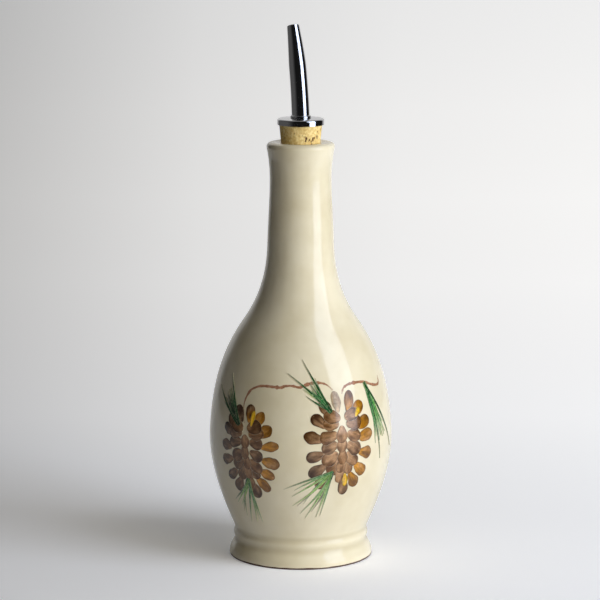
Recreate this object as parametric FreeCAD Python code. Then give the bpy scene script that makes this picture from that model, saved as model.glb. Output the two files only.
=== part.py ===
"""Drizzle bottle: a hand-thrown, glazed stoneware bottle, closed by a cork that
carries a plated cap and a bent pouring spout.

Millimetres. Z is up, the origin is on the table at the bottle's axis. The spout
leans away along +Y and a little to -X.
"""

import FreeCAD
import Part
import math
import os

# ---------------------------------------------------------------- bottle
BOTTLE_HEIGHT = 208.0        # table to the top of the lip
FOOT_RADIUS = 35.8
GROOVE_RADIUS = 33.2         # turned line above the foot
BEAD_RADIUS = 33.7           # small ring between the groove and the body
CREASE_RADIUS = 33.2         # where the body is cut in above the ring
BELLY_RADIUS = 45.5
SHOULDER_RADIUS = 28.4
NECK_RADIUS = 15.3           # narrowest, just below the lip
LIP_RADIUS = 16.85           # where the lip starts to round over
LIP_CORNER_RADIUS = 17.0     # corner that this rounding is drawn in
LIP_CROWN_RADIUS = 13.4      # highest circle of the rounded lip
MOUTH_ROUND = 1.4            # depth of the rounding from the crown into the mouth
WALL = 4.6                   # of the belly
SHOULDER_WALL = 5.6          # measured level, so more than square to the slope
FLOOR = 5.0
FOOT_RING_WIDTH = 5.0
FOOT_RECESS = 2.5            # how far the underside stands off the table
FOOT_RECESS_SLOPE = 1.25     # how far the recess closes in over that height
EDGE_ROUND = 0.8             # worn corner where the foot meets the table

# Outside of the wall from foot to lip: height, radius, and how many
# millimetres the radius gains for each millimetre of height there.
OUTSIDE = [
    (EDGE_ROUND, FOOT_RADIUS, 0.02),
    (4.6, 35.0, -0.45),                    # rounded rim of the foot
    (8.9, GROOVE_RADIUS, 0.0),
    (11.7, BEAD_RADIUS, 0.0),
    (14.0, CREASE_RADIUS, 0.05),
    (16.4, 33.8, 0.44),                    # the body starts to open
    (65.0, BELLY_RADIUS, -0.06),
    (119.4, SHOULDER_RADIUS, -0.70),       # where the shoulder turns hollow
    (157.0, 16.6, -0.03),                  # root of the neck
    (188.0, NECK_RADIUS, -0.02),
    (205.4, LIP_RADIUS, 0.20),
]

# Inside of the wall, from the foot of the wall to the lower end of the cork.
INSIDE = [
    (18.0, 31.0, 0.42),
    (65.0, BELLY_RADIUS - WALL, -0.06),
    (119.4, SHOULDER_RADIUS - SHOULDER_WALL, -0.70),
    (157.0, 10.0, -0.05),
    (190.0, 8.1, -0.02),
]
INNER_FLOOR_RADIUS = 24.0    # flat middle of the floor
INNER_BEND_OUT = 4.6         # the rounded corner between floor and wall passes
INNER_BEND_UP = 3.9          # through this far out from and above the floor's edge

# ---------------------------------------------------------------- cork
CORK_BOTTOM = 192.0
CORK_TOP = 218.8
CORK_BOTTOM_RADIUS = 8.2
CORK_TOP_RADIUS = 10.75
CORK_CHAMFER = 0.6

# ---------------------------------------------------------------- cap
CAP_BOTTOM = 216.6
CAP_EDGE_TOP = 219.6         # top of the cap just inside its rounded edge
CAP_RADIUS = 11.7
CAP_EDGE_ROUND = 1.1
CAP_CROWN = 0.4              # rise of the plate from its edge to the collar
CAP_SKIRT = 0.85             # wall round the head of the cork
COLLAR_RADIUS = 5.1          # raised ring that the spout is pressed into
COLLAR_HEIGHT = 1.6
COLLAR_BULGE = 0.1

# ---------------------------------------------------------------- spout
SPOUT_LENGTH = 46.0          # along its centre line, from the cap to the tip
SPOUT_LEAN_BASE = 4.5        # degrees off vertical where it leaves the cap
SPOUT_LEAN_TIP = 19.0
SPOUT_HEADING = 24.0         # degrees from +Y towards -X
SPOUT_BASE_RADIUS = 4.5
SPOUT_BODY_RADIUS = 4.32
SPOUT_TIP_RADIUS = 3.0
SPOUT_TAPER_START = 26.0     # along the centre line
SPOUT_TAPER_POWER = 1.2      # 1 is a plain cone, and more starts the taper more softly
SPOUT_BORE_RADIUS = 2.9
SPOUT_TIP_BORE_RADIUS = 2.15
SPOUT_TIP_CHAMFER = 0.3
SPOUT_SECTIONS = 12
SPOUT_EMBEDDED = 2.0         # length of centre line drawn below the cap's top

# ---------------------------------------------------------------- stem
STEM_RADIUS = 3.5            # tube that carries on down through the cork
STEM_BOTTOM = 186.0

UP = FreeCAD.Vector(0, 0, 1)
ORIGIN = FreeCAD.Vector(0, 0, 0)


def rz(radius, height):
    """A point of a turned outline."""
    return FreeCAD.Vector(radius, 0, height)


def line(start, end):
    return Part.LineSegment(start, end).toShape()


def arc(start, middle, end):
    return Part.Arc(start, middle, end).toShape()


def soft_corner(start, corner, end):
    """Edge that leaves start and reaches end along the two sides of a corner."""
    curve = Part.BezierCurve()
    curve.setPoles([start, corner, end])
    return curve.toShape()


def flowing_edge(stations):
    """One smooth edge through stations of (height, radius, gain)."""
    curve = None
    for (z0, r0, gain0), (z1, r1, gain1) in zip(stations, stations[1:]):
        third = (z1 - z0) / 3.0
        span = Part.BezierCurve()
        span.setPoles([
            rz(r0, z0),
            rz(r0 + gain0 * third, z0 + third),
            rz(r1 - gain1 * third, z1 - third),
            rz(r1, z1),
        ])
        if curve is None:
            curve = span.toBSpline()
        else:
            curve.join(span.toBSpline())
    return curve.toShape()


def turned(edges):
    """The solid that a closed outline sweeps round the Z axis."""
    outline = Part.Wire(Part.sortEdges(edges)[0])
    return Part.Face(outline).revolve(ORIGIN, UP, 360)


def cork_radius(height):
    """Radius of the tapered cork, and of the seat that holds it."""
    along = (height - CORK_BOTTOM) / (CORK_TOP - CORK_BOTTOM)
    return CORK_BOTTOM_RADIUS + along * (CORK_TOP_RADIUS - CORK_BOTTOM_RADIUS)


def make_bottle():
    """Thrown body with a turned foot, hollow, with a seat for the cork."""
    foot_top, foot_radius, _ = OUTSIDE[0]
    lip_edge = rz(OUTSIDE[-1][1], OUTSIDE[-1][0])
    ring_outer = rz(foot_radius - EDGE_ROUND, 0)
    ring_inner = rz(foot_radius - EDGE_ROUND - FOOT_RING_WIDTH, 0)
    recess_corner = rz(ring_inner.x - FOOT_RECESS_SLOPE, FOOT_RECESS)
    recess_middle = rz(0, FOOT_RECESS)
    floor_middle = rz(0, FOOT_RECESS + FLOOR)
    floor_edge = rz(INNER_FLOOR_RADIUS, FOOT_RECESS + FLOOR)
    wall_foot = rz(INSIDE[0][1], INSIDE[0][0])
    floor_bend = rz(floor_edge.x + INNER_BEND_OUT, floor_edge.z + INNER_BEND_UP)
    bore_end = rz(INSIDE[-1][1], INSIDE[-1][0])
    seat_bottom = rz(cork_radius(CORK_BOTTOM), CORK_BOTTOM)
    seat_top_height = BOTTLE_HEIGHT - MOUTH_ROUND
    seat_top = rz(cork_radius(seat_top_height), seat_top_height)
    crown = rz(LIP_CROWN_RADIUS, BOTTLE_HEIGHT)
    edges = [
        soft_corner(ring_outer, rz(foot_radius, 0), rz(foot_radius, foot_top)),
        flowing_edge(OUTSIDE),
        soft_corner(lip_edge, rz(LIP_CORNER_RADIUS, BOTTLE_HEIGHT), crown),
        soft_corner(crown, rz(seat_top.x, BOTTLE_HEIGHT), seat_top),
        line(seat_top, seat_bottom),
        line(seat_bottom, bore_end),
        flowing_edge(INSIDE),
        arc(wall_foot, floor_bend, floor_edge),
        line(floor_edge, floor_middle),
        line(floor_middle, recess_middle),
        line(recess_middle, recess_corner),
        line(recess_corner, ring_inner),
        line(ring_inner, ring_outer),
    ]
    return turned(edges)


def make_cork():
    """Tapered cork, bored for the stem."""
    chamfer_top = CORK_BOTTOM + CORK_CHAMFER
    corners = [
        rz(STEM_RADIUS, CORK_BOTTOM),
        rz(CORK_BOTTOM_RADIUS - CORK_CHAMFER, CORK_BOTTOM),
        rz(cork_radius(chamfer_top), chamfer_top),
        rz(CORK_TOP_RADIUS, CORK_TOP),
        rz(STEM_RADIUS, CORK_TOP),
    ]
    outline = Part.makePolygon(corners + corners[:1])
    return Part.Face(outline).revolve(ORIGIN, UP, 360)


def spout_point(along):
    """Point and direction of the spout's centre line, a plain circular bend."""
    base_lean = math.radians(SPOUT_LEAN_BASE)
    tip_lean = math.radians(SPOUT_LEAN_TIP)
    bend_radius = SPOUT_LENGTH / (tip_lean - base_lean)
    lean = base_lean + along / bend_radius
    outward = bend_radius * (math.cos(base_lean) - math.cos(lean))
    upward = bend_radius * (math.sin(lean) - math.sin(base_lean))
    heading = math.radians(SPOUT_HEADING)
    away = FreeCAD.Vector(-math.sin(heading), math.cos(heading), 0)
    point = away * outward + UP * (CAP_EDGE_TOP + upward)
    direction = away * math.sin(lean) + UP * math.cos(lean)
    return point, direction


def spout_radius(along):
    """Nearly straight at first, then drawn in to the tip."""
    if along <= SPOUT_TAPER_START:
        share = max(along, 0) / SPOUT_TAPER_START
        return SPOUT_BASE_RADIUS + share * (SPOUT_BODY_RADIUS - SPOUT_BASE_RADIUS)
    share = (along - SPOUT_TAPER_START) / (SPOUT_LENGTH - SPOUT_TAPER_START)
    eased = share ** SPOUT_TAPER_POWER
    return SPOUT_BODY_RADIUS + eased * (SPOUT_TIP_RADIUS - SPOUT_BODY_RADIUS)


def bore_radius(along):
    """The bore narrows in step with the outside."""
    drawn = (SPOUT_BODY_RADIUS - spout_radius(along)) / (SPOUT_BODY_RADIUS - SPOUT_TIP_RADIUS)
    return SPOUT_BORE_RADIUS - max(drawn, 0) * (SPOUT_BORE_RADIUS - SPOUT_TIP_BORE_RADIUS)


def bent_rod(radius_at, end):
    """Loft of circles square to the spout's centre line."""
    start = -SPOUT_EMBEDDED
    circles = []
    for index in range(SPOUT_SECTIONS + 1):
        along = start + (end - start) * index / SPOUT_SECTIONS
        point, direction = spout_point(along)
        circles.append(Part.Wire(Part.makeCircle(radius_at(along), point, direction)))
    return Part.makeLoft(circles, True, False)


def above_cork():
    """Block of space above the top of the cork."""
    size = 4 * SPOUT_LENGTH
    return Part.makeBox(size, size, size, FreeCAD.Vector(-size / 2, -size / 2, CORK_TOP))


def tip_cone():
    """Wide cone whose narrow end takes the sharp corner off the spout's tip."""
    tip, direction = spout_point(SPOUT_LENGTH)
    depth = SPOUT_LENGTH + 2 * SPOUT_EMBEDDED
    narrow = SPOUT_TIP_RADIUS - SPOUT_TIP_CHAMFER
    return Part.makeCone(narrow + depth, narrow, depth, tip - direction * depth, direction)


def make_spout():
    """Bent, tapering tube with an eased tip, its foot cut level on the cork."""
    tube = bent_rod(spout_radius, SPOUT_LENGTH).common(tip_cone())
    tube = tube.cut(bent_rod(bore_radius, SPOUT_LENGTH + SPOUT_EMBEDDED))
    return tube.common(above_cork())


def make_cap():
    """Spun cap over the head of the cork, with a collar round the spout."""
    edge_height = CAP_EDGE_TOP - CAP_EDGE_ROUND
    edge_corner = CAP_EDGE_ROUND * (1 - math.sqrt(0.5))
    plate_edge = rz(CAP_RADIUS - CAP_EDGE_ROUND, CAP_EDGE_TOP)
    collar_foot = rz(COLLAR_RADIUS, CAP_EDGE_TOP + CAP_CROWN)
    collar_top = CAP_EDGE_TOP + COLLAR_HEIGHT
    collar_round = (collar_top - collar_foot.z) / 2
    skirt_inside = rz(CAP_RADIUS - CAP_SKIRT, CAP_BOTTOM)
    edges = [
        line(rz(0, CORK_TOP), rz(skirt_inside.x, CORK_TOP)),
        line(rz(skirt_inside.x, CORK_TOP), skirt_inside),
        line(skirt_inside, rz(CAP_RADIUS, CAP_BOTTOM)),
        line(rz(CAP_RADIUS, CAP_BOTTOM), rz(CAP_RADIUS, edge_height)),
        arc(
            rz(CAP_RADIUS, edge_height),
            rz(CAP_RADIUS - edge_corner, CAP_EDGE_TOP - edge_corner),
            plate_edge,
        ),
        line(plate_edge, collar_foot),
        arc(
            collar_foot,
            rz(COLLAR_RADIUS + COLLAR_BULGE, collar_foot.z + collar_round),
            rz(COLLAR_RADIUS - collar_round, collar_top),
        ),
        line(rz(COLLAR_RADIUS - collar_round, collar_top), rz(0, collar_top)),
        line(rz(0, collar_top), rz(0, CORK_TOP)),
    ]
    return turned(edges).cut(bent_rod(spout_radius, SPOUT_LENGTH))


def make_stem():
    """Straight tube from the spout down through the cork."""
    height = CORK_TOP - STEM_BOTTOM
    base = rz(0, STEM_BOTTOM)
    tube = Part.makeCylinder(STEM_RADIUS, height, base, UP)
    return tube.cut(Part.makeCylinder(SPOUT_BORE_RADIUS, height, base, UP))


def main():
    os.makedirs("parts", exist_ok=True)
    parts = {
        "bottle": make_bottle(),
        "cork": make_cork(),
        "spout_cap": make_cap(),
        "spout": make_spout(),
        "stem": make_stem(),
    }
    for name, shape in parts.items():
        shape.exportStep(os.path.join("parts", name + ".step"))
        print(name, "solids", len(shape.Solids), "valid", shape.isValid(),
              "volume cm3", round(shape.Volume / 1000, 2))


main()
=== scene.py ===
import math
import random

import bpy
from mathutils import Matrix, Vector, noise


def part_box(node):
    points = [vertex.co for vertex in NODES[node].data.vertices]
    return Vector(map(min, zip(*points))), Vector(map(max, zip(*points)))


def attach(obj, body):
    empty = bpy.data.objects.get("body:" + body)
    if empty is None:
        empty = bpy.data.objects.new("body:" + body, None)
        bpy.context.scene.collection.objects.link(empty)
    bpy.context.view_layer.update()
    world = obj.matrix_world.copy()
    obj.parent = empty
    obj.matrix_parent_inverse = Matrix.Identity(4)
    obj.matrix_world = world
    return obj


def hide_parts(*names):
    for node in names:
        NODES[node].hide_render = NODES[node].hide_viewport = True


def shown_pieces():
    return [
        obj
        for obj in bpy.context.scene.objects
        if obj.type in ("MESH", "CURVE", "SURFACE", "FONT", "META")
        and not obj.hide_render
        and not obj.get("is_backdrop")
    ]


bl_info = {
    "name": "Drizzle bottle",
    "version": (1, 0, 0),
    "blender": (4, 5, 0),
    "location": "3D View > Sidebar > Drizzle bottle",
    "description": "Glazes, paints and corks a thrown stoneware oil bottle on a pale table",
    "category": "Object",
}

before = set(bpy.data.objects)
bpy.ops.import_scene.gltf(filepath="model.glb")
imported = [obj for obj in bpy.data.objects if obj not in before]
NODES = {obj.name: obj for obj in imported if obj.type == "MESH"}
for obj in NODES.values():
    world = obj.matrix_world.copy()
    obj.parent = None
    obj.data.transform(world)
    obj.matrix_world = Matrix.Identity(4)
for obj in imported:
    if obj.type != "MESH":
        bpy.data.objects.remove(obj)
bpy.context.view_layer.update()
BODY = "root"
MM = 0.001
MIX_A, MIX_B, MIX_RESULT = 6, 7, 2   # the colour sockets of a Mix node
CONE_SEED, TWIG_SEED, NEEDLE_SEED, CORK_SEED = 11, 23, 31, 5

BOTTLE_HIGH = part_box("bottle")[1]
CORK_LOW, CORK_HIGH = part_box("cork")
CAP_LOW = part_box("spout_cap")[0]
HEIGHT = BOTTLE_HIGH.z

# Turned grooves above the foot, where glaze pools and painted shade darkens the glaze: middle
# height and reach in mm.
GROOVES = ((8.6, 3.0), (14.3, 2.4))
# The bare recess under the foot lies within this radius and below this height.
RECESS_REACH, RECESS_TOP = 31.5 * MM, 3.2 * MM
GLAZE_IOR = 1.52
# Where each kind of stroke begins, over the wall: twigs lie under cones, cones under needles.
TWIG_LEVEL, CONE_LEVEL, NEEDLE_LEVEL = 0.02 * MM, 0.04 * MM, 0.24 * MM


# ------------------------------------------------------------------ shared tools

def srgb(code):
    """Linear RGBA of an sRGB hex colour such as '#E6DFC6'."""
    values = []
    for start in (1, 3, 5):
        value = int(code[start:start + 2], 16) / 255
        values.append(value / 12.92 if value <= 0.04045 else ((value + 0.055) / 1.055) ** 2.4)
    return (*values, 1.0)


def opaque(colour):
    """A colour property as linear RGBA."""
    return (*colour, 1.0)


def greys(levels):
    """Stops of a ramp from (position, grey level) pairs."""
    return [(position, (level, level, level, 1)) for position, level in levels]


def mixed(first, second, share):
    """Colour or point between two of the same length."""
    return tuple(a + (b - a) * share for a, b in zip(first, second))


def eased(low, high, value):
    """0 below low, 1 above high and a smooth step between."""
    share = min(max((value - low) / (high - low), 0.0), 1.0)
    return share * share * (3 - 2 * share)


def add_node(tree, kind, inputs=None, stops=None, **settings):
    """One shader node with its settings and its ramp's stops. Each input is a value, a socket,
    or a node, which stands for its first output."""
    node = tree.nodes.new(kind)
    for name, value in settings.items():
        setattr(node, name, value)
    for name, value in (inputs or {}).items():
        if isinstance(value, bpy.types.Node):
            value = value.outputs[0]
        if isinstance(value, bpy.types.NodeSocket):
            tree.links.new(value, node.inputs[name])
        else:
            node.inputs[name].default_value = value
    if stops:
        ramp = node.color_ramp.elements
        while len(ramp) < len(stops):
            ramp.new(1.0)
        for element, (position, colour) in zip(ramp, stops):
            element.position = position
            element.color = colour
    return node


def new_material(name):
    """An empty node material, its tree, and the place on the object that a ray meets."""
    material = bpy.data.materials.new(name)
    material.use_nodes = True
    tree = material.node_tree
    tree.nodes.clear()
    return material, tree, add_node(tree, "ShaderNodeTexCoord").outputs["Object"]


def place_material(obj, material):
    """The material on every slot of an object, or on a first one."""
    if not obj.material_slots:
        obj.data.materials.append(material)
    for slot in obj.material_slots:
        slot.material = material


def new_piece(name, vertices, faces, material, replaced=()):
    """A mesh piece of the bottle, in the frame's own coordinates."""
    mesh = bpy.data.meshes.new(name)
    mesh.from_pydata(vertices, [], faces)
    mesh.validate()
    piece = bpy.data.objects.new(name, mesh)
    bpy.context.scene.collection.objects.link(piece)
    place_material(piece, material)
    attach(piece, BODY)
    if replaced:
        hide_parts(*replaced)
    return piece


# ------------------------------------------------------------------ the wall that the paint lies on

def felt_radius(node, height):
    """Outer radius of a turned piece at a height, felt from outside all round."""
    radii = []
    for azimuth in range(0, 360, 15):
        angle = math.radians(azimuth)
        outward = Vector((math.cos(angle), math.sin(angle), 0))
        start = outward * BOTTLE_HIGH.x * 2 + Vector((0, 0, height))
        _, met, _, _ = NODES[node].ray_cast(start, -outward)
        radii.append(math.hypot(met.x, met.y))
    return max(radii)


OUTLINE = [felt_radius("bottle", step * MM) for step in range(1, int(HEIGHT / MM))]


def wall_radius(height):
    """Radius of the bottle's wall at a height, between two of the felt rows."""
    row = min(max(height / MM - 1, 0), len(OUTLINE) - 1.001)
    below = int(row)
    return OUTLINE[below] + (row - below) * (OUTLINE[below + 1] - OUTLINE[below])


def on_wall(azimuth, height, lift):
    """Point at an azimuth in degrees, 0 in front and 90 at +X, raised off the wall by lift."""
    radius = wall_radius(height) + lift
    angle = math.radians(azimuth)
    return (radius * math.sin(angle), -radius * math.cos(angle), height)


# ------------------------------------------------------------------ settings

def colour_setting(name, description, code):
    """A colour that a user may change."""
    return bpy.props.FloatVectorProperty(
        name=name, description=description, default=srgb(code)[:3],
        subtype="COLOR", size=3, min=0, max=1)


def length_setting(name, description, default, low, high):
    """A length that a user may change, in metres."""
    return bpy.props.FloatProperty(
        name=name, description=description, default=default, unit="LENGTH", min=low, max=high)


def factor_setting(name, description, default):
    """A share or level between 0 and 1 that a user may change."""
    return bpy.props.FloatProperty(
        name=name, description=description, default=default, subtype="FACTOR", min=0, max=1)


def power_setting(name, description, watts):
    """The power of a lamp that a user may change."""
    return bpy.props.FloatProperty(
        name=name, description=description, default=watts, unit="POWER", min=0, max=1000)


class GlazeSettings(bpy.types.PropertyGroup):
    """Glaze and clay of the bottle."""
    cream: colour_setting("Glaze", "Colour of the glaze where it is even", "#E9E0C5")
    cloud: colour_setting("Cloud", "Colour of the faint clouds in the glaze", "#DDD2B2")
    # The pool colour stands both for pooled glaze and for painted shade in the grooves.
    pool: colour_setting("Pool", "Colour of the glaze where it ran thick into a groove", "#B9AB84")
    clay: colour_setting("Clay", "Colour of the bare fired clay under the foot", "#5A4037")
    cloud_size: length_setting(
        "Cloud size", "Usual width of a cloud in the glaze", 24 * MM, MM, 0.1)
    ring_spacing: length_setting(
        "Ring spacing", "Distance between the potter's finger rings", 6.5 * MM, MM, 0.05)
    peel_size: length_setting(
        "Peel size", "Width of the fine ripples of the fired glaze", 2.6 * MM, 0.5 * MM, 0.05)
    bare_edge: length_setting(
        "Bare edge", "Height above the table at which the glaze ends", 0.95 * MM, 0, 0.02)
    roughness: factor_setting("Roughness", "Roughness of the glossy glaze", 0.1)


class PaintSettings(bpy.types.PropertyGroup):
    """Underglaze brushwork."""
    umber: colour_setting("Umber", "Darkest brown, towards the tips of the scales", "#2A1808")
    brown: colour_setting("Brown", "Main brown of the cones", "#83592F")
    wash: colour_setting("Wash", "Thin pale brown at the root of a scale", "#CDA37A")
    amber: colour_setting("Amber", "Amber of the free scales on the right", "#D08E18")
    pooled: colour_setting(
        "Pooled brown", "Dark brown that pools at the rims of the scales", "#462818")
    yellow: colour_setting("Yellow", "Single touches of yellow", "#F4C312")
    bark: colour_setting("Bark", "Reddish brown of the twigs", "#B0806A")
    pine: colour_setting("Pine", "Dark green of the needles", "#0C3019")
    leaf: colour_setting("Leaf", "Middle green of the needles", "#2C7F3E")
    sprout: colour_setting("Sprout", "Pale green of the needles", "#7FB045")
    layer: length_setting(
        "Layer", "Thickness that each stroke adds to the one below", 0.005 * MM, 0, MM)
    grain: length_setting(
        "Grain", "Size of the clumps in the settled pigment", 1.3 * MM, 0.1 * MM, 0.01)


class CorkSettings(bpy.types.PropertyGroup):
    """The cork."""
    light: colour_setting("Light cork", "Palest cork", "#F7E3A6")
    tan: colour_setting("Cork", "Usual cork", "#E4C680")
    pore: colour_setting("Pore", "Dark bark dust in the pores", "#55301A")
    grain: length_setting("Grain", "Size of the cork's grain", 1.1 * MM, 0.1 * MM, 0.02)
    pits: bpy.props.IntProperty(
        name="Pits", description="Number of open pores round the cork",
        default=60, min=0, max=400)
    pit_depth: length_setting("Pit depth", "Depth of the deepest pore", 0.45 * MM, 0, 2 * MM)


class PlatingSettings(bpy.types.PropertyGroup):
    """Cap, spout and stem."""
    metal: colour_setting("Plate", "Colour of the polished plate", "#D3D2D3")
    roughness: factor_setting("Roughness", "Roughness of the polish", 0.07)
    scratch_spacing: length_setting(
        "Scratch spacing", "Distance between the fine marks of the polishing mop",
        0.35 * MM, 0.05 * MM, 0.01)


class StageSettings(bpy.types.PropertyGroup):
    """Table, light and camera."""
    table: colour_setting("Table", "Colour of the pale table and backdrop", "#F0F0F2")
    table_lift: factor_setting(
        "Table lift", "How much the table shows paler than its lamps make it", 0.82)
    ambient: factor_setting("Ambient", "Plain light from all round", 0.012)
    backdrop: factor_setting(
        "Backdrop", "Level of the pale backdrop as polished metal mirrors it", 0.66)
    side_wall: factor_setting(
        "Side wall", "Level of the dim wall on the left as metal mirrors it", 0.1)
    key_watts: power_setting("Key light", "Power of the tall soft box on the right", 7.9)
    fill_watts: power_setting("Fill light", "Power of the wide fill above the key light", 20.5)
    low_watts: power_setting("Low light", "Power of the fill that stands at table height", 41.0)
    back_watts: power_setting("Back light", "Power of the lamp that lights the far side", 30.0)
    camera_distance: length_setting(
        "Camera distance", "Level distance from the bottle's axis to the camera", 1.427, 0.3, 10)
    camera_height: length_setting(
        "Camera height", "Height of the camera above the table", 0.382, 0, 5)
    camera_pitch: bpy.props.FloatProperty(
        name="Camera pitch", description="How far the camera looks down",
        default=math.radians(10.06), subtype="ANGLE", unit="ROTATION", min=-1.5, max=1.5)


# ------------------------------------------------------------------ glaze and clay

def pool_and_shade_mask(tree, height_mm, middle, reach):
    """1 in a level groove at that height, falling to 0 at its reach, both in millimetres."""
    offset = add_node(tree, "ShaderNodeMath", {0: height_mm, 1: middle}, operation="SUBTRACT")
    distance = add_node(tree, "ShaderNodeMath", {0: offset}, operation="ABSOLUTE")
    return add_node(
        tree, "ShaderNodeMapRange",
        {"Value": distance, "From Min": 0.0, "From Max": reach, "To Min": 1.0, "To Max": 0.0},
        interpolation_type="SMOOTHSTEP")


def glaze_colour(tree, place, settings):
    """Colour of the fired glaze at a place, the same on the wall and under the paint."""
    clouds = add_node(
        tree, "ShaderNodeTexNoise",
        {"Vector": place, "Scale": 1 / settings.cloud_size, "Detail": 3.0, "Roughness": 0.55})
    clouded = add_node(
        tree, "ShaderNodeValToRGB", {"Fac": clouds},
        stops=[(0.3, opaque(settings.cloud)), (0.62, opaque(settings.cream))])
    height = add_node(tree, "ShaderNodeSeparateXYZ", {"Vector": place})
    height_mm = add_node(
        tree, "ShaderNodeMath", {0: height.outputs["Z"], 1: 1 / MM}, operation="MULTIPLY")
    # Darker in the turned groove and in the crease above it: glaze pooled thick there, and painted
    # shade where these hollows fall in shadow.
    groove, crease = (pool_and_shade_mask(tree, height_mm, *turned) for turned in GROOVES)
    deepest = add_node(tree, "ShaderNodeMath", {0: groove, 1: crease}, operation="MAXIMUM")
    pooled = add_node(tree, "ShaderNodeMath", {0: deepest, 1: 0.4}, operation="MULTIPLY")
    return add_node(
        tree, "ShaderNodeMix",
        {0: pooled, MIX_A: clouded, MIX_B: opaque(settings.pool)},
        data_type="RGBA").outputs[MIX_RESULT]


def glaze_relief(tree, place, settings):
    """Normal of the glazed wall: soft finger rings, and the fine ripples of the melted glaze."""
    flattened = add_node(
        tree, "ShaderNodeVectorMath",
        {0: place, 1: (8.0, 8.0, 1 / settings.ring_spacing)}, operation="MULTIPLY")
    # Finger rings, slack swells about 14 mm wide, and ripples: scale, detail, roughness and
    # depth in mm of each.
    relief = None
    for vector, scale, detail, roughness, depth in (
            (flattened, 1.0, 1.5, 0.4, 0.10),
            (place, 1 / (14 * MM), 1.0, 0.4, 0.10),
            (place, 1 / settings.peel_size, 2.0, 0.5, 0.008)):
        texture = add_node(
            tree, "ShaderNodeTexNoise",
            {"Vector": vector, "Scale": scale, "Detail": detail, "Roughness": roughness})
        height = add_node(
            tree, "ShaderNodeMath", {0: texture, 1: depth * MM}, operation="MULTIPLY")
        if relief is not None:
            height = add_node(tree, "ShaderNodeMath", {0: relief, 1: height}, operation="ADD")
        relief = height
    return add_node(tree, "ShaderNodeBump", {"Height": relief, "Strength": 1.0, "Distance": 1.0})


def glazed_stoneware(settings):
    """Cream glaze, dipped and fired glossy over stoneware. It looks wet and a little wavy, lies
    thicker and duller in the turned grooves, where its darker colour is partly pooled glaze and
    partly painted shade, and stops at the bare brown foot."""
    material, tree, place = new_material("glazed_stoneware")
    glaze = glaze_colour(tree, place, settings)
    parts = add_node(tree, "ShaderNodeSeparateXYZ", {"Vector": place})
    # The glaze ends in a slightly ragged line, with waves about 9 mm long.
    ragged = add_node(
        tree, "ShaderNodeTexNoise", {"Vector": place, "Scale": 1 / (9 * MM), "Detail": 2.0})
    wander = add_node(
        tree, "ShaderNodeMapRange",
        {"Value": ragged, "From Min": 0.3, "From Max": 0.7,
         "To Min": settings.bare_edge - 0.15 * MM, "To Max": settings.bare_edge + 0.15 * MM})
    below_edge = add_node(
        tree, "ShaderNodeMath", {0: parts.outputs["Z"], 1: wander}, operation="LESS_THAN")
    level = add_node(
        tree, "ShaderNodeVectorMath", {0: place, 1: (1.0, 1.0, 0.0)}, operation="MULTIPLY")
    radius = add_node(tree, "ShaderNodeVectorMath", {0: level}, operation="LENGTH")
    within = add_node(
        tree, "ShaderNodeMath", {0: radius.outputs["Value"], 1: RECESS_REACH},
        operation="LESS_THAN")
    low = add_node(
        tree, "ShaderNodeMath", {0: parts.outputs["Z"], 1: RECESS_TOP}, operation="LESS_THAN")
    recess = add_node(tree, "ShaderNodeMath", {0: within, 1: low}, operation="MULTIPLY")
    bare = add_node(tree, "ShaderNodeMath", {0: below_edge, 1: recess}, operation="MAXIMUM")
    # Real grit is finer than 0.8 mm, and is drawn as coarse as it needs to be to show.
    grit = add_node(
        tree, "ShaderNodeTexNoise", {"Vector": place, "Scale": 1 / (0.8 * MM), "Detail": 4.0})
    clay = add_node(
        tree, "ShaderNodeValToRGB", {"Fac": grit},
        stops=[(0.3, mixed(opaque(settings.clay), (0, 0, 0, 1), 0.4)),
               (0.7, opaque(settings.clay))])
    colour = add_node(
        tree, "ShaderNodeMix", {0: bare, MIX_A: glaze, MIX_B: clay},
        data_type="RGBA").outputs[MIX_RESULT]
    roughness = add_node(
        tree, "ShaderNodeMapRange",
        {"Value": bare, "To Min": settings.roughness, "To Max": 0.85})
    shader = add_node(
        tree, "ShaderNodeBsdfPrincipled",
        {"Base Color": colour, "Roughness": roughness, "IOR": GLAZE_IOR,
         "Normal": glaze_relief(tree, place, settings)})
    add_node(tree, "ShaderNodeOutputMaterial", {"Surface": shader})
    return material


class DRIZZLE_OT_glaze_bottle(bpy.types.Operator):
    """Glaze the thrown bottle and leave its foot bare"""
    bl_idname = "drizzle.glaze_bottle"
    bl_label = "Glaze the bottle"

    def execute(self, context):
        place_material(NODES["bottle"], glazed_stoneware(context.scene.drizzle_glaze))
        return {"FINISHED"}


# ------------------------------------------------------------------ underglaze painting

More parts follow.
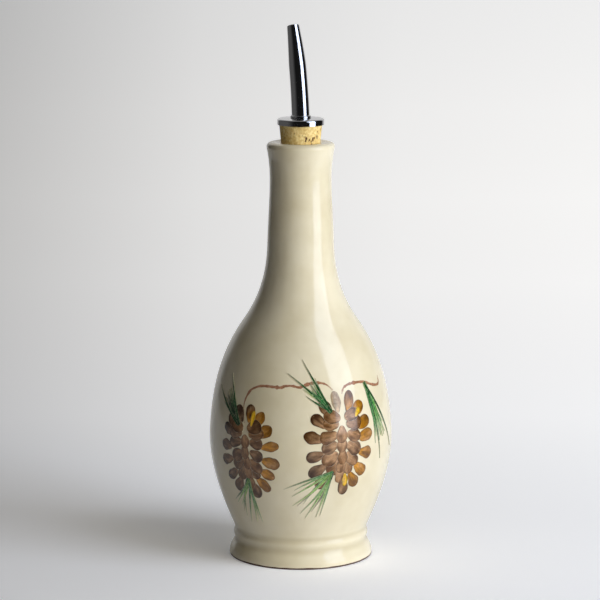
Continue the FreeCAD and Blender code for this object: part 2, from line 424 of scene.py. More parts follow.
def underglaze(name, context):
    """Ceramic underglaze brushed on and fired under clear glaze. The pigment settles in soft
    clumps and streaks, is thin where the brush lifted, and shines exactly like the wall. Real
    clumps are finer, and are drawn as coarse as they need to be to show."""
    glaze, paint = context.scene.drizzle_glaze, context.scene.drizzle_paint
    material, tree, place = new_material(name)
    pigment = add_node(
        tree, "ShaderNodeAttribute", attribute_name="pigment", attribute_type="GEOMETRY")
    brushed = add_node(
        tree, "ShaderNodeAttribute", attribute_name="brushed", attribute_type="GEOMETRY")
    streaks = add_node(
        tree, "ShaderNodeTexNoise",
        {"Vector": brushed.outputs["Vector"], "Scale": 1.0, "Detail": 2.0})
    clumps = add_node(
        tree, "ShaderNodeTexNoise",
        {"Vector": place, "Scale": 1 / paint.grain, "Detail": 3.0, "Roughness": 0.6})
    settled = add_node(tree, "ShaderNodeMath", {0: streaks, 1: clumps}, operation="ADD")
    strength = add_node(
        tree, "ShaderNodeMapRange",
        {"Value": settled, "From Min": 0.75, "From Max": 1.25, "To Min": 0.72, "To Max": 1.28})
    deepened = add_node(
        tree, "ShaderNodeVectorMath",
        {0: pigment.outputs["Color"], "Scale": strength}, operation="SCALE")
    thin = add_node(
        tree, "ShaderNodeMapRange",
        {"Value": clumps, "From Min": 0.35, "From Max": 0.75, "To Min": 1.3, "To Max": 0.9})
    cover = add_node(
        tree, "ShaderNodeMath", {0: pigment.outputs["Alpha"], 1: thin},
        operation="MULTIPLY", use_clamp=True)
    colour = add_node(
        tree, "ShaderNodeMix",
        {0: cover, MIX_A: glaze_colour(tree, place, glaze), MIX_B: deepened},
        data_type="RGBA").outputs[MIX_RESULT]
    shader = add_node(
        tree, "ShaderNodeBsdfPrincipled",
        {"Base Color": colour, "Roughness": glaze.roughness, "IOR": GLAZE_IOR,
         "Normal": glaze_relief(tree, place, glaze)})
    add_node(tree, "ShaderNodeOutputMaterial", {"Surface": shader})
    return material


class Brushwork:
    """Strokes of one kind, each a thin closed strip let into the bottle's wall."""
    UNDERSIDE = -0.3 * MM    # how deep each stroke reaches into the wall
    STREAK_LENGTH, STREAK_WIDTH = 4 * MM, 0.5 * MM
    APART = 3.7              # keeps the streaks of one stroke apart from those of the next

    def __init__(self, layer, lowest):
        self.layer = layer
        self.lowest = lowest     # height over the wall of the first stroke
        self.level = lowest
        self.vertices = []
        self.faces = []
        self.painted = []        # True for each face that shows
        self.pigments = []
        self.brushed = []        # place along and across the stroke, for its streaks
        self.strokes = 0

    def stroke(self, line, half_widths, pigment, columns):
        """One stroke along a line of (azimuth, height) points, with the half width in metres
        at each, and pigment(along, across) giving its colour and cover."""
        rows = len(line)
        first = len(self.vertices)
        travelled = 0.0

        def corner(row, column, under):
            """Number of a vertex of this strip, on its top or under it."""
            return first + 2 * (row * (columns + 1) + column) + under

        for row, (azimuth, height) in enumerate(line):
            before = line[max(row - 1, 0)]
            after = line[min(row + 1, rows - 1)]
            per_degree = math.radians(1) * wall_radius(height)    # metres round the wall
            step = ((after[0] - before[0]) * per_degree, after[1] - before[1])
            length = math.hypot(*step)
            side = (step[1] / length, -step[0] / length)
            if row:
                last = line[row - 1]
                travelled += math.hypot((azimuth - last[0]) * per_degree, height - last[1])
            for column in range(columns + 1):
                across = math.sin((column / columns - 0.5) * math.pi)
                reach = across * half_widths[row]
                spot = (azimuth + side[0] * reach / per_degree, height + side[1] * reach)
                for lift in (self.level, self.UNDERSIDE):
                    self.vertices.append(on_wall(*spot, lift))
                    self.pigments.append(pigment(row / (rows - 1), across))
                    self.brushed.append((
                        travelled / self.STREAK_LENGTH, reach / self.STREAK_WIDTH,
                        self.strokes * self.APART))
        for row in range(rows - 1):
            for column in range(columns):
                square = (
                    (row, column), (row, column + 1), (row + 1, column + 1), (row + 1, column))
                self.add_face([corner(r, c, 0) for r, c in square], True)
                self.add_face([corner(r, c, 1) for r, c in reversed(square)], False)
            for column, turn in ((0, 1), (columns, -1)):
                edge = [corner(row, column, 0), corner(row + 1, column, 0),
                        corner(row + 1, column, 1), corner(row, column, 1)]
                self.add_face(edge[::turn], False)
        for column in range(columns):
            for row, turn in ((0, -1), (rows - 1, 1)):
                edge = [corner(row, column, 0), corner(row, column + 1, 0),
                        corner(row, column + 1, 1), corner(row, column, 1)]
                self.add_face(edge[::turn], False)
        self.level += self.layer
        self.strokes += 1

    def add_face(self, corners, shows):
        """One face, and whether it shows."""
        self.faces.append(corners)
        self.painted.append(shows)

    def finish(self, name, material):
        """The strokes as one piece, smooth on top with a crisp rim."""
        piece = new_piece(name, self.vertices, self.faces, material)
        mesh = piece.data
        mesh.polygons.foreach_set("use_smooth", self.painted)
        colours = mesh.attributes.new("pigment", "FLOAT_COLOR", "POINT")
        colours.data.foreach_set("color", [value for colour in self.pigments for value in colour])
        places = mesh.attributes.new("brushed", "FLOAT_VECTOR", "POINT")
        places.data.foreach_set("vector", [value for place in self.brushed for value in place])
        shown = set()
        hidden = set()
        for face, shows in zip(mesh.polygons, self.painted):
            (shown if shows else hidden).update(face.edge_keys)
        rim = shown & hidden
        for edge in mesh.edges:
            edge.use_edge_sharp = edge.key in rim


def scale_width(along):
    """Outline of one scale: narrow where the brush lands, round where it lifts."""
    swell = 0.5 + 0.5 * eased(0.0, 0.55, along)
    landing = math.sqrt(max(1 - (1 - min(along / 0.18, 1)) ** 2, 0.02))
    lift = math.sqrt(max(1 - max((along - 0.62) / 0.38, 0) ** 2, 0.004))
    return swell * landing * lift


def brush_rows(rows):
    """Places along a stroke, closer together at its ends."""
    return [0.5 - 0.5 * math.cos(math.pi * row / (rows - 1)) for row in range(rows)]


class Cone:
    """A pine cone hanging from its twig, drawn scale by scale from the tip to the stalk."""
    ROWS = 17
    FREE_PAIRS, CLOSED_PAIRS, MIDDLE_SCALES = 7, 5, 5
    # Half width and half height in mm of the ovals that the scales spring from.
    FREE_OVAL = (9.0, 15.5)
    CLOSED_OVAL = (2.4, 10.5)
    # Where the scales begin on their oval, counted from the stalk, and their span in degrees.
    FREE_ARC = (14, 158)
    CLOSED_ARC = (24, 128)
    # Length and width of the scales in mm.
    FREE_SCALE = (9.2, 5.8)
    STALK_SCALE = (9.8, 5.2)
    CLOSED_SCALE = (8.4, 6.6)
    MIDDLE_SCALE = (7.6, 5.0)
    TOUCH_WIDTH = 2.8

    def __init__(self, work, paint, chance, azimuth, height, size, tilt, depth):
        self.work, self.paint, self.chance = work, paint, chance
        self.azimuth, self.height, self.size = azimuth, height, size
        self.tilt = math.radians(tilt)
        self.depth = depth       # how much umber the brush carried, from 0 to 1

    def spot(self, right, up):
        """Wall place of a point of the cone, in millimetres from its middle."""
        u = (right * math.cos(self.tilt) + up * math.sin(self.tilt)) * self.size
        v = (up * math.cos(self.tilt) - right * math.sin(self.tilt)) * self.size
        height = self.height + v * MM
        return (self.azimuth + math.degrees(u * MM / wall_radius(self.height)), height)

    def scale(self, right, up, direction, length, width, start, end, cover=1.0):
        """One scale from a base point, in a direction counted in degrees from straight up."""
        wobble = self.chance.uniform
        direction = math.radians(direction + wobble(-5, 5))
        length *= wobble(0.92, 1.1)
        width *= wobble(0.92, 1.1)
        bend = wobble(-0.5, 0.5)
        blot = wobble(0, 90)
        line = []
        widths = []
        for along in brush_rows(self.ROWS):
            reach = along * length
            sway = bend * math.sin(math.pi * along)
            line.append(self.spot(
                right + math.sin(direction) * reach + math.cos(direction) * sway,
                up + math.cos(direction) * reach - math.sin(direction) * sway))
            uneven = 1 + 0.25 * noise.noise(Vector((along * 3, blot, 0)))
            widths.append(scale_width(along) * uneven * width / 2 * self.size * MM)
        shade = wobble(0.82, 1.08)
        pooled = mixed(end, tuple(self.paint.pooled), 0.6)

        def pigment(along, across):
            rim = max(abs(across) ** 4, eased(0.75, 1.0, along))
            uneven = 1.6 * noise.noise(Vector((along * 3.5, across * 1.8, blot)))
            colour = mixed(start, end, eased(0.15, 0.8, along))
            colour = mixed(colour, tuple(self.paint.wash), 0.5 * max(-uneven, 0))
            colour = mixed(colour, pooled, min(0.8 * rim + max(uneven, 0), 1))
            colour = tuple(value * shade * (1 - 0.2 * rim) for value in colour)
            fade = 0.45 + 0.55 * eased(0.0, 0.25, along)
            soft = 1 - 0.55 * eased(0.93, 1.0, abs(across))
            return (*colour, cover * fade * soft)

        self.work.stroke(line, widths, pigment, columns=8)

    def paint_scales(self):
        """Every scale, in the order in which the brush lays them."""
        paint, depth = self.paint, self.depth
        umber, brown, wash, amber = (
            tuple(colour) for colour in (paint.umber, paint.brown, paint.wash, paint.amber))
        # Free scales round the outside, tip first: brown on the left, amber on the right.
        last = self.FREE_PAIRS
        for step in range(last, 0, -1):
            turn = self.FREE_ARC[0] + self.FREE_ARC[1] * step / last
            for side in ((1,) if step == last else (-1, 1)):
                angle = math.radians(turn)
                base = (side * self.FREE_OVAL[0] * math.sin(angle),
                        self.FREE_OVAL[1] * math.cos(angle) - 0.5)
                heading = side * (turn * 0.93 + 4)
                if side > 0 and step < last:
                    start = amber
                    end = mixed(mixed(brown, umber, 0.6), amber, 0.25 + 0.2 * (step % 2))
                else:
                    start = mixed(wash, brown, 0.3 + 0.6 * depth)
                    end = mixed(brown, umber, 0.55 + 0.17 * (step % 3) + 0.1 * depth)
                self.scale(*base, heading, *self.FREE_SCALE, start, end)
        # The two at the stalk stand up beside it.
        self.scale(-2.4, 14.0, -14, *self.STALK_SCALE, mixed(wash, umber, depth),
                   mixed(brown, umber, depth), cover=0.5 + 0.5 * depth)
        self.scale(2.6, 14.0, 8, *self.STALK_SCALE, amber, mixed(brown, umber, 0.9 * depth))
        # Closed scales over the core, each over the root of the one below it.
        inner = self.CLOSED_PAIRS
        for step in range(inner, -1, -1):
            turn = self.CLOSED_ARC[0] + self.CLOSED_ARC[1] * step / inner
            for side in (-1, 1):
                angle = math.radians(turn)
                base = (side * self.CLOSED_OVAL[0] * math.sin(angle),
                        self.CLOSED_OVAL[1] * math.cos(angle) + 2.0)
                heading = side * (turn * 0.55 + 62)
                end = mixed(brown, umber, self.chance.uniform(0.2, 0.9) * (0.5 + 0.5 * depth))
                start = mixed(wash, brown, 0.1 + 0.8 * depth)
                self.scale(*base, heading, *self.CLOSED_SCALE, start, end)
        # A row down the middle, from the tip up.
        for step in range(self.MIDDLE_SCALES):
            self.scale(
                self.chance.uniform(-0.6, 0.6), -11.5 + 5.0 * step, 180, *self.MIDDLE_SCALE,
                mixed(wash, brown, 0.6 * depth), mixed(wash, brown, self.chance.uniform(0.6, 1.0)))

    def touch(self, right, up, direction, length):
        """A slim touch of yellow between two scales."""
        yellow = tuple(self.paint.yellow)
        self.scale(right, up, direction, length, self.TOUCH_WIDTH, yellow, yellow)


class DRIZZLE_OT_paint_cones(bpy.types.Operator):
    """Paint the pine cones"""
    bl_idname = "drizzle.paint_cones"
    bl_label = "Paint the cones"
    # Azimuth, height of its middle in mm, size, tilt in degrees, share of umber, and its
    # touches of yellow: right and up from the middle in mm, heading in degrees, length in mm.
    CONES = [
        (-36.0, 60.5, 0.97, -4.0, 0.8, [(3.6, 12.5, 18, 8.0)]),
        (26.5, 65.0, 1.06, 3.0, 0.25, [(7.4, 12.0, 30, 4.5), (2.2, -14.0, 172, 6.5)]),
        (172.0, 62.0, 1.0, -4.0, 0.5, [(4.0, 12.0, 20, 7.0)]),
    ]

    def execute(self, context):
        paint = context.scene.drizzle_paint
        work = Brushwork(paint.layer, CONE_LEVEL)
        chance = random.Random(CONE_SEED)
        for azimuth, height, size, tilt, depth, touches in self.CONES:
            work.level = work.lowest
            cone = Cone(work, paint, chance, azimuth, height * MM, size, tilt, depth)
            cone.paint_scales()
            for touch in touches:
                cone.touch(*touch)
        work.finish("painted_cones", underglaze("underglaze_cones", context))
        return {"FINISHED"}


def flowing(points, rows):
    """Evenly counted places on a Catmull-Rom curve through points of (azimuth, height in mm)."""
    ends = [points[0]] + list(points) + [points[-1]]
    line = []
    for row in range(rows):
        place = row / (rows - 1) * (len(points) - 1)
        index = min(int(place), len(points) - 2)
        t = place - index
        p0, p1, p2, p3 = ends[index:index + 4]
        line.append(tuple(
            0.5 * (2 * b + (c - a) * t + (2 * a - 5 * b + 4 * c - d) * t * t
                   + (3 * b - a - 3 * c + d) * t ** 3)
            for a, b, c, d in zip(p0, p1, p2, p3)))
    return [(azimuth, height * MM) for azimuth, height in line]


class DRIZZLE_OT_paint_twigs(bpy.types.Operator):
    """Paint the twigs that the cones hang from"""
    bl_idname = "drizzle.paint_twigs"
    bl_label = "Paint the twigs"
    ROWS_PER_PLACE = 11
    # Places of each twig from its stalk on: azimuth, and height in mm.
    TWIGS = [
        [(-38.0, 74), (-39.6, 83), (-36.5, 89.4), (-31.5, 92.0), (-26.0, 92.9), (-18.0, 92.8),
         (-13.5, 92.7), (-10.5, 93.5), (-5.5, 93.6), (-0.8, 93.0), (3.0, 94.0), (7.5, 94.9),
         (13.5, 94.9), (18.0, 93.8), (22.0, 91.2)],
        [(28.2, 89.0), (30.0, 91.6), (33.5, 93.0), (38.0, 93.4), (44.0, 93.4), (49.5, 92.8),
         (56.0, 91.0), (62.5, 90.0), (66.5, 90.8), (67.6, 94.0)],
        [(171.0, 84), (173.0, 89.0), (178.0, 92.4), (186.0, 93.2), (194.0, 92.4),
         (202.0, 93.4), (210.0, 92.0)],
    ]

    def execute(self, context):
        paint = context.scene.drizzle_paint
        work = Brushwork(paint.layer, TWIG_LEVEL)
        chance = random.Random(TWIG_SEED)
        for points in self.TWIGS:
            rows = self.ROWS_PER_PLACE * len(points)
            line = flowing(points, rows)
            drift = chance.uniform(0, 50)
            widths = []
            for row in range(rows):
                along = row / (rows - 1)
                swell = noise.noise(Vector((row * 0.12, drift, 0)))
                knots = max(noise.noise(Vector((row * 0.2, drift + 9, 4))), 0)
                ends = 0.55 + 0.45 * eased(0, 0.25, along) * eased(0, 0.2, 1 - along)
                widths.append((0.62 + 0.16 * swell + 0.75 * knots) * ends * MM)

            def pigment(along, across):
                lit = 0.5 + 0.5 * noise.noise(Vector((along * 22, across, drift)))
                colour = mixed(tuple(paint.bark), tuple(paint.brown), 0.15 + 0.55 * lit)
                soft = 1 - 0.6 * eased(0.8, 1.0, abs(across))
                ends = 0.45 + 0.55 * eased(0, 0.12, along) * eased(0, 0.1, 1 - along)
                return (*colour, 0.92 * soft * ends)

            work.stroke(line, widths, pigment, columns=4)
        work.finish("painted_twigs", underglaze("underglaze_twigs", context))
        return {"FINISHED"}


class DRIZZLE_OT_paint_needles(bpy.types.Operator):
    """Paint the sprays of needles"""
    bl_idname = "drizzle.paint_needles"
    bl_label = "Paint the needles"
    ROWS = 16
    # Root azimuth and height in mm, first and last heading in degrees from straight up,
    # needle length in mm at the first and at the last heading, length of the two that
    # stand out (0 for none), number of needles, and how dark the spray is.
    SPRAYS = [
        (-42.0, 72.8, -54, -22, 15, 20, 26, 14, 1.0),
        (-35.5, 46.5, -136, -192, 18, 25, 0, 9, 0.5),
        (19.5, 80.5, -54, -24, 16, 17, 29, 11, 0.4),
        (20.5, 51.5, -112, -168, 25, 27, 0, 11, 0.3),
        (48.5, 93.0, 153, 172, 27, 29, 40, 20, 0.2),
        (168.0, 50.0, -114, -168, 23, 24, 0, 10, 0.5),
        (203.0, 92.6, 150, 176, 24, 26, 36, 15, 0.4),
    ]

    def execute(self, context):
        paint = context.scene.drizzle_paint
        pine, leaf, sprout = (tuple(c) for c in (paint.pine, paint.leaf, paint.sprout))
        work = Brushwork(paint.layer, NEEDLE_LEVEL)
        chance = random.Random(NEEDLE_SEED)
        for azimuth, height, first, last, early, late, long, count, dark in self.SPRAYS:
            work.level = work.lowest
            degrees_per_mm = math.degrees(MM / wall_radius(height * MM))
            longest = (1, count - 2) if long else ()
            thin = 0.0 if long else 0.2
            order = list(range(count))
            chance.shuffle(order)
            order.sort(key=longest.count)
            for index in order:
                share = index / (count - 1)
                heading = math.radians(first + (last - first) * share
                                       + chance.uniform(-2.5, 2.5))
                length = long if index in longest else (
                    (early + (late - early) * share) * chance.uniform(0.84, 1.1))
                bend = chance.uniform(-0.05, 0.05) * length
                start = chance.uniform(-0.8, 0.8)
                line, widths = [], []
                for row in range(self.ROWS):
                    along = row / (self.ROWS - 1)
                    reach = along * length
                    sway = bend * math.sin(math.pi * along) + start * (1 - along)
                    right = math.sin(heading) * reach + math.cos(heading) * sway
                    up = math.cos(heading) * reach - math.sin(heading) * sway
                    line.append((azimuth + right * degrees_per_mm, (height + up) * MM))
                    landing = 0.5 + 0.5 * eased(0, 0.06, along)
                    widths.append(landing * (0.6 * (1 - along) ** 0.6 + 0.06) * MM)
                depth = 0.3 * dark if index in longest else chance.random()
                if depth < dark:
                    tint = mixed(pine, leaf, depth / dark)
                else:
                    tint = mixed(leaf, sprout, (depth - dark) / (1 - dark))

                def pigment(along, across):
                    colour = mixed(mixed(tint, pine, 0.5), tint, eased(0, 0.4, along))
                    fade = 1 - 0.5 * eased(0.55, 1.0, along)
                    fade -= thin * eased(0, 0.5, along)
                    return (*colour, fade * (1 - 0.3 * abs(across) ** 3))

                work.stroke(line, widths, pigment, columns=2)
        work.finish("painted_needles", underglaze("underglaze_needles", context))
        return {"FINISHED"}


# ------------------------------------------------------------------ cork

def natural_cork(settings):
    """Natural cork, punched out and sanded. Matt, warm and finely mottled, with dark bark
    dust left in its open pores."""
    material, tree, place = new_material("natural_cork")
    pit = add_node(tree, "ShaderNodeAttribute", attribute_name="pit", attribute_type="GEOMETRY")
    grain = add_node(
        tree, "ShaderNodeTexNoise",
        {"Vector": place, "Scale": 1 / settings.grain, "Detail": 4.0, "Roughness": 0.65})
    # Real cells are far finer, and are drawn as coarse as they need to be to show.
    cells = add_node(
        tree, "ShaderNodeTexVoronoi", {"Vector": place, "Scale": 1 / (0.45 * settings.grain)},
        feature="F1")
    # Paler and darker patches of the bark, about 4.5 mm wide.
    patches = add_node(
        tree, "ShaderNodeTexNoise",
        {"Vector": place, "Scale": 1 / (4.5 * MM), "Detail": 2.0, "Roughness": 0.5})
    fleck = add_node(
        tree, "ShaderNodeValToRGB", {"Fac": grain},
        stops=[(0.32, mixed(opaque(settings.tan), opaque(settings.pore), 0.2)),
               (0.42, opaque(settings.tan)), (0.6, opaque(settings.light))])
    patched = add_node(
        tree, "ShaderNodeValToRGB", {"Fac": patches},
        stops=[(0.36, srgb("#EDE6D8")), (0.6, (1, 1, 1, 1))])
    toned = add_node(
        tree, "ShaderNodeMix", {0: 1.0, MIX_A: fleck, MIX_B: patched},
        data_type="RGBA", blend_type="MULTIPLY").outputs[MIX_RESULT]
    colour = add_node(
        tree, "ShaderNodeMix",
        {0: pit.outputs["Fac"], MIX_A: toned, MIX_B: opaque(settings.pore)},
        data_type="RGBA").outputs[MIX_RESULT]
    height = add_node(
        tree, "ShaderNodeMath", {0: grain, 1: cells.outputs["Distance"]}, operation="ADD")
    relief = add_node(
        tree, "ShaderNodeBump", {"Height": height, "Strength": 1.0, "Distance": 0.09 * MM})
    shader = add_node(
        tree, "ShaderNodeBsdfPrincipled",
        {"Base Color": colour, "Roughness": 0.82, "IOR": 1.4, "Normal": relief})
    add_node(tree, "ShaderNodeOutputMaterial", {"Surface": shader})
    return material


class CorkBody:
    """The cork, turned round its axis and pitted where its side shows."""
    COLUMNS = 240
    FINE_BAND = (HEIGHT - 2 * MM, CAP_LOW.z + 0.4 * MM)    # shows between lip and cap
    FINE_STEP = 0.22 * MM
    COARSE_STEP = 1.2 * MM

    def __init__(self, settings):
        chance = random.Random(CORK_SEED)
        self.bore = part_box("stem")[1].x
        low, high = CORK_LOW.z, CORK_HIGH.z
        heights = [low]
        while heights[-1] < high - 0.3 * MM:
            fine = self.FINE_BAND[0] < heights[-1] < self.FINE_BAND[1]
            heights.append(heights[-1] + (self.FINE_STEP if fine else self.COARSE_STEP))
        heights[-1] = high
        self.heights = heights
        self.radii = [
            felt_radius("cork", min(max(h, low + 0.02 * MM), high - 0.02 * MM)) for h in heights]
        self.pits = []
        for number in range(settings.pits):
            bottom, top = self.FINE_BAND
            if number % 6 == 0:
                azimuth = chance.uniform(8, 55)
                height = chance.uniform(bottom, 0.5 * (bottom + top))
                wide = chance.uniform(0.35, 0.6) * MM
            else:
                azimuth = chance.uniform(0, 360)
                height = chance.uniform(bottom, top)
                wide = chance.uniform(0.1, 0.35) * MM
            tall = wide * chance.uniform(0.9, 2.4)
            depth = settings.pit_depth * chance.uniform(0.35, 1.0)
            self.pits.append((azimuth, height, wide, tall, depth))

    def pitted(self, azimuth, height, radius):
        """How deep the side is pitted there, and how much of that is dark pore."""
        depth = dark = 0.0
        for middle, level, wide, tall, deepest in self.pits:
            aside = math.radians((azimuth - middle + 180) % 360 - 180) * radius / wide
            above = (height - level) / tall
            reach = aside * aside + above * above
            if reach < 1:
                depth = max(depth, deepest * (1 - reach * reach))
                dark = max(dark, 1 - reach ** 3)
        return depth, dark

    def build(self, material):
        """The pitted cork as one closed piece."""
        columns = self.COLUMNS
        bottom, top = self.heights[0], self.heights[-1]
        # Rings of points up the side, and back down through the bore.
        rings = [*zip(self.heights, self.radii), (top, self.bore), (bottom, self.bore)]
        vertices, darkness, faces = [], [], []
        for ring, (height, radius) in enumerate(rings):
            below = ring * columns
            above = (ring + 1) % len(rings) * columns
            for column in range(columns):
                azimuth = 360 * column / columns
                depth = dark = 0.0
                if bottom < height < top:
                    depth, dark = self.pitted(azimuth, height, radius)
                angle = math.radians(azimuth)
                reach = radius - depth
                vertices.append((reach * math.sin(angle), -reach * math.cos(angle), height))
                darkness.append(dark)
                after = (column + 1) % columns
                faces.append((below + column, below + after, above + after, above + column))
        piece = new_piece("pitted_cork", vertices, faces, material, ("cork",))
        mesh = piece.data
        side = columns * (len(self.heights) - 1)
        for face in mesh.polygons:
            face.use_smooth = face.index < side
        pores = mesh.attributes.new("pit", "FLOAT", "POINT")
        pores.data.foreach_set("value", darkness)


class DRIZZLE_OT_cut_cork(bpy.types.Operator):
    """Cut the cork, with its open pores"""
    bl_idname = "drizzle.cut_cork"
    bl_label = "Cut the cork"

    def execute(self, context):
        settings = context.scene.drizzle_cork
        CorkBody(settings).build(natural_cork(settings))
        return {"FINISHED"}


# ------------------------------------------------------------------ plated metal

def polished_plate(settings):
    """Nickel-chrome plate on brass, polished on a soft mop. It mirrors the room sharply, a
    little stretched by the mop's fine marks and dulled here and there by oily fingers. The
    real marks are finer, and are drawn as coarse as they need to be to show."""
    material, tree, place = new_material("polished_nickel_chrome")
    stretched = add_node(
        tree, "ShaderNodeVectorMath", {0: place, 1: (1.0, 1.0, 0.12)}, operation="MULTIPLY")
    marks = add_node(
        tree, "ShaderNodeTexNoise",
        {"Vector": stretched, "Scale": 1 / settings.scratch_spacing, "Detail": 2.0})
    # Finger marks about 5 mm wide.
    smears = add_node(
        tree, "ShaderNodeTexNoise",
        {"Vector": place, "Scale": 1 / (5 * MM), "Detail": 3.0, "Roughness": 0.6})
    dulled = add_node(
        tree, "ShaderNodeMapRange",
        {"Value": smears, "From Min": 0.4, "From Max": 0.7,
         "To Min": settings.roughness, "To Max": settings.roughness * 2.2})
    relief = add_node(
        tree, "ShaderNodeBump",
        {"Height": marks, "Strength": 0.5, "Distance": 0.004 * MM})
    shader = add_node(
        tree, "ShaderNodeBsdfPrincipled",
        {"Base Color": opaque(settings.metal), "Metallic": 1.0,
         "Roughness": dulled, "Normal": relief})
    add_node(tree, "ShaderNodeOutputMaterial", {"Surface": shader})
    return material


class DRIZZLE_OT_plate_pourer(bpy.types.Operator):
    """Plate the cap, the spout and the stem"""
    bl_idname = "drizzle.plate_pourer"
    bl_label = "Plate the pourer"

    def execute(self, context):
        material = polished_plate(context.scene.drizzle_plating)
        for node in ("spout_cap", "spout", "stem"):
            place_material(NODES[node], material)
        return {"FINISHED"}


# ------------------------------------------------------------------ stage

def mirror_rays(tree):
    """The Light Path node, and 1 for rays that metal mirrors or glass lets through."""
    seen = add_node(tree, "ShaderNodeLightPath")
    mirrored = add_node(
        tree, "ShaderNodeMath",
        {0: seen.outputs["Is Glossy Ray"], 1: seen.outputs["Is Transmission Ray"]},
        operation="MAXIMUM")
    return seen, mirrored


def pale_table(settings):
    """Matt white-painted table top: even and pale, with painted shade that makes it a little dimmer
    on the left and close by, a painted soft shadow beside the bottle, and pale again far out in
    front and to the left."""
    material, tree, place = new_material("matt_painted_table")
    parts = add_node(tree, "ShaderNodeSeparateXYZ", {"Vector": place})
    right, behind = parts.outputs["X"], parts.outputs["Y"]
    # Painted shade, dimmer on the left, in a wedge that widens behind the bottle.
    spread = add_node(
        tree, "ShaderNodeMapRange",
        {"Value": behind, "From Min": 0.0, "From Max": 4.0, "To Min": 0.15, "To Max": 0.56})
    across = add_node(tree, "ShaderNodeMath", {0: right, 1: spread}, operation="DIVIDE")
    across = add_node(
        tree, "ShaderNodeMapRange", {"Value": across, "From Min": -1.2, "From Max": 1.2})
    across = add_node(
        tree, "ShaderNodeValToRGB", {"Fac": across},
        stops=greys([(0.08, 0.55), (0.25, 0.70), (0.36, 0.80), (0.64, 0.94), (0.9, 1.0)]))
    # Painted shade, dimmer close by.
    away = add_node(
        tree, "ShaderNodeMapRange", {"Value": behind, "From Min": -0.1, "From Max": 2.0})
    away = add_node(
        tree, "ShaderNodeValToRGB", {"Fac": away},
        stops=greys([
            (0.0, 0.40), (0.08, 0.47), (0.2, 0.69), (0.43, 0.88), (0.65, 0.965), (1.0, 1.0)]))
    # A painted soft shadow round a place just left of the foot.
    beside = add_node(
        tree, "ShaderNodeVectorMath", {0: place, 1: (-0.04, 0.0, 0.0)}, operation="DISTANCE")
    beside = add_node(
        tree, "ShaderNodeMapRange",
        {"Value": beside.outputs["Value"], "From Min": 0.0, "From Max": 0.12,
         "To Min": 0.62, "To Max": 1.0})
    shaded = across
    for dimmer in (away, beside):
        shaded = add_node(tree, "ShaderNodeMath", {0: shaded, 1: dimmer}, operation="MULTIPLY")
    # Pale again far out in front and to the left.
    beyond = add_node(tree, "ShaderNodeMath", {0: right, 1: behind}, operation="MINIMUM")
    beyond = add_node(
        tree, "ShaderNodeMapRange",
        {"Value": beyond, "From Min": -0.25, "From Max": -1.2, "To Min": 0.0, "To Max": 0.9})
    shaded = add_node(tree, "ShaderNodeMath", {0: shaded, 1: beyond}, operation="MAXIMUM")
    # Only the camera and mirror images see the lift, and it throws no light on the bottle.
    seen, mirrored = mirror_rays(tree)
    lift = add_node(
        tree, "ShaderNodeMath", {0: seen.outputs["Is Camera Ray"], 1: mirrored},
        operation="MAXIMUM")
    for share in (settings.table_lift, shaded):
        lift = add_node(tree, "ShaderNodeMath", {0: lift, 1: share}, operation="MULTIPLY")
    shader = add_node(
        tree, "ShaderNodeBsdfPrincipled",
        {"Base Color": opaque(settings.table), "Roughness": 0.9, "Specular IOR Level": 0.1,
         "Emission Color": (1, 1, 1, 1), "Emission Strength": lift})
    add_node(tree, "ShaderNodeOutputMaterial", {"Surface": shader})
    return material


def table_part(name, boards, material, near):
    """Level boards of the table top, each (left, right, front, back) in metres. Only the near
    ones throw light back on the bottle and are mirrored in it."""
    corners, faces = [], []
    for left, right, front, back in boards:
        faces.append(tuple(range(len(corners), len(corners) + 4)))
        corners += [(left, front, 0), (right, front, 0), (right, back, 0), (left, back, 0)]
    mesh = bpy.data.meshes.new(name)
    mesh.from_pydata(corners, [], faces)
    part = bpy.data.objects.new(name, mesh)
    part.visible_glossy = near
    part.visible_diffuse = near
    bpy.context.scene.collection.objects.link(part)
    place_material(part, material)
    part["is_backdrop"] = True


def studio_world(settings):
    """A dim studio: pale behind the bottle, nearly dark on the camera's side."""
    world = bpy.data.worlds.new("studio")
    world.use_nodes = True
    tree = world.node_tree
    tree.nodes.clear()
    way = add_node(
        tree, "ShaderNodeSeparateXYZ",
        {"Vector": add_node(tree, "ShaderNodeTexCoord").outputs["Generated"]})
    nearer = add_node(tree, "ShaderNodeMath", {0: way.outputs["Y"], 1: -1.0}, operation="MULTIPLY")
    turn = add_node(tree, "ShaderNodeMath", {0: way.outputs["X"], 1: nearer}, operation="ARCTAN2")
    round_turn = add_node(
        tree, "ShaderNodeMapRange",
        {"Value": turn, "From Min": -math.pi, "From Max": math.pi})
    pale, dim, dark = settings.backdrop, settings.side_wall, 0.01
    room = add_node(
        tree, "ShaderNodeValToRGB", {"Fac": round_turn},
        stops=greys([((degrees + 180) / 360, level) for degrees, level in (
            (-180, pale), (-148, pale), (-134, dim), (-70, dim), (-35, dark),
            (126, dark), (144, pale), (180, pale))]))
    seen, mirrored = mirror_rays(tree)
    ambient = (settings.ambient, settings.ambient, settings.ambient, 1)
    for_object = add_node(
        tree, "ShaderNodeMix",
        {0: mirrored, MIX_A: ambient, MIX_B: room},
        data_type="RGBA")
    for_all = add_node(
        tree, "ShaderNodeMix",
        {0: seen.outputs["Is Camera Ray"], MIX_A: for_object.outputs[MIX_RESULT],
         MIX_B: opaque(settings.table)},
        data_type="RGBA")
    background = add_node(
        tree, "ShaderNodeBackground", {"Color": for_all.outputs[MIX_RESULT], "Strength": 1.0})
    add_node(tree, "ShaderNodeOutputWorld", {"Surface": background})
    return world


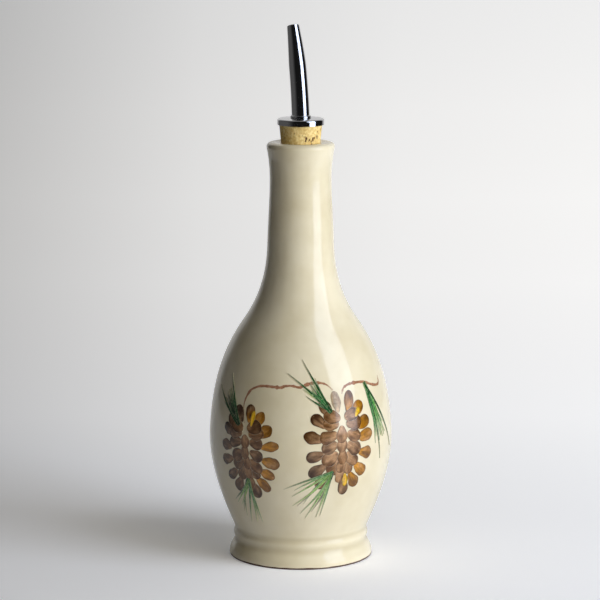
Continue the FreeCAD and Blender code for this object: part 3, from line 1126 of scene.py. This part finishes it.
def soft_box(name, azimuth, elevation, distance, width, height, watts, tint, mirrored=False):
    """A rectangular lamp aimed at the middle of the bottle, with its azimuth and elevation in
    degrees and its distance, width and height in metres."""
    lamp = bpy.data.lights.new(name, "AREA")
    lamp.color = srgb(tint)[:3]
    lamp.shape = "RECTANGLE"
    lamp.size, lamp.size_y = width, height
    lamp.energy = watts
    box = bpy.data.objects.new(name, lamp)
    turn, rise = math.radians(azimuth), math.radians(elevation)
    middle = Vector((0, 0, HEIGHT / 2))
    box.location = middle + distance * Vector((
        math.sin(turn) * math.cos(rise), -math.cos(turn) * math.cos(rise), math.sin(rise)))
    box.rotation_euler = (box.location - middle).to_track_quat("Z", "Y").to_euler()
    box.visible_camera = False
    box.visible_glossy = mirrored
    bpy.context.scene.collection.objects.link(box)
    return box


class DRIZZLE_OT_set_stage(bpy.types.Operator):
    """Set the table, the studio lights and the camera"""
    bl_idname = "drizzle.set_stage"
    bl_label = "Set the stage"
    WIDE = 12.0                # how far the table goes on, in metres
    SIDE, FRONT = 0.65, -0.65  # edges of the part that the bottle and its metal mirror

    def execute(self, context):
        settings = context.scene.drizzle_stage
        paint = pale_table(settings)
        wide, side, front = self.WIDE, self.SIDE, self.FRONT
        table_part("table_top", [(-side, side, front, wide)], paint, near=True)
        table_part(
            "table_surround",
            [(-wide, -side, front, wide), (side, wide, front, wide), (-wide, wide, -wide, front)],
            paint, near=False)
        context.scene.world = studio_world(settings)

        soft_box(
            "key_light", 60, 25, 1.0, 0.6, 1.16, settings.key_watts, "#D8E6FF", mirrored=True)
        soft_box("fill_light", 45, 30, 2.5, 3.0, 2.5, settings.fill_watts, "#FFECC4")
        soft_box("low_light", 50, 5, 2.5, 2.0, 1.5, settings.low_watts, "#FFFBF0")
        back = soft_box("back_light", 190, 30, 3.0, 1.5, 2.0, settings.back_watts, "#FFFFFF")
        bottle_only = bpy.data.collections.new("lit_from_behind")
        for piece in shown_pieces():
            bottle_only.objects.link(piece)
        back.light_linking.receiver_collection = bottle_only

        lens = bpy.data.cameras.new("camera")
        lens.lens = 175
        lens.sensor_width = 36
        lens.shift_x = -0.0012
        camera = bpy.data.objects.new("camera", lens)
        camera.location = (0, -settings.camera_distance, settings.camera_height)
        camera.rotation_euler = (math.pi / 2 - settings.camera_pitch, 0, 0)
        context.scene.collection.objects.link(camera)
        context.scene.camera = camera
        context.scene.view_settings.view_transform = "Standard"
        return {"FINISHED"}


# ------------------------------------------------------------------ add-on

OPERATORS = (
    DRIZZLE_OT_glaze_bottle, DRIZZLE_OT_paint_twigs, DRIZZLE_OT_paint_cones,
    DRIZZLE_OT_paint_needles, DRIZZLE_OT_cut_cork, DRIZZLE_OT_plate_pourer,
    DRIZZLE_OT_set_stage)
SETTINGS = {
    "drizzle_glaze": GlazeSettings,
    "drizzle_paint": PaintSettings,
    "drizzle_cork": CorkSettings,
    "drizzle_plating": PlatingSettings,
    "drizzle_stage": StageSettings,
}


class DRIZZLE_PT_bottle(bpy.types.Panel):
    """Settings and steps of the drizzle bottle"""
    bl_idname = "DRIZZLE_PT_bottle"
    bl_label = "Drizzle bottle"
    bl_space_type = "VIEW_3D"
    bl_region_type = "UI"
    bl_category = "Drizzle bottle"

    def draw(self, context):
        for operator in OPERATORS:
            self.layout.operator(operator.bl_idname)
        for name in SETTINGS:
            group = getattr(context.scene, name)
            box = self.layout.box()
            box.label(text=name.split("_")[1].capitalize())
            for value in group.bl_rna.properties:
                if value.identifier not in ("rna_type", "name"):
                    box.prop(group, value.identifier)


def register():
    for name, group in SETTINGS.items():
        bpy.utils.register_class(group)
        setattr(bpy.types.Scene, name, bpy.props.PointerProperty(type=group))
    for operator in OPERATORS:
        bpy.utils.register_class(operator)
    bpy.utils.register_class(DRIZZLE_PT_bottle)


def unregister():
    bpy.utils.unregister_class(DRIZZLE_PT_bottle)
    for operator in reversed(OPERATORS):
        bpy.utils.unregister_class(operator)
    for name, group in SETTINGS.items():
        delattr(bpy.types.Scene, name)
        bpy.utils.unregister_class(group)


def main():
    register()
    bpy.ops.drizzle.glaze_bottle()
    bpy.ops.drizzle.paint_twigs()
    bpy.ops.drizzle.paint_cones()
    bpy.ops.drizzle.paint_needles()
    bpy.ops.drizzle.cut_cork()
    bpy.ops.drizzle.plate_pourer()
    bpy.ops.drizzle.set_stage()


if __name__ == "__main__":
    main()
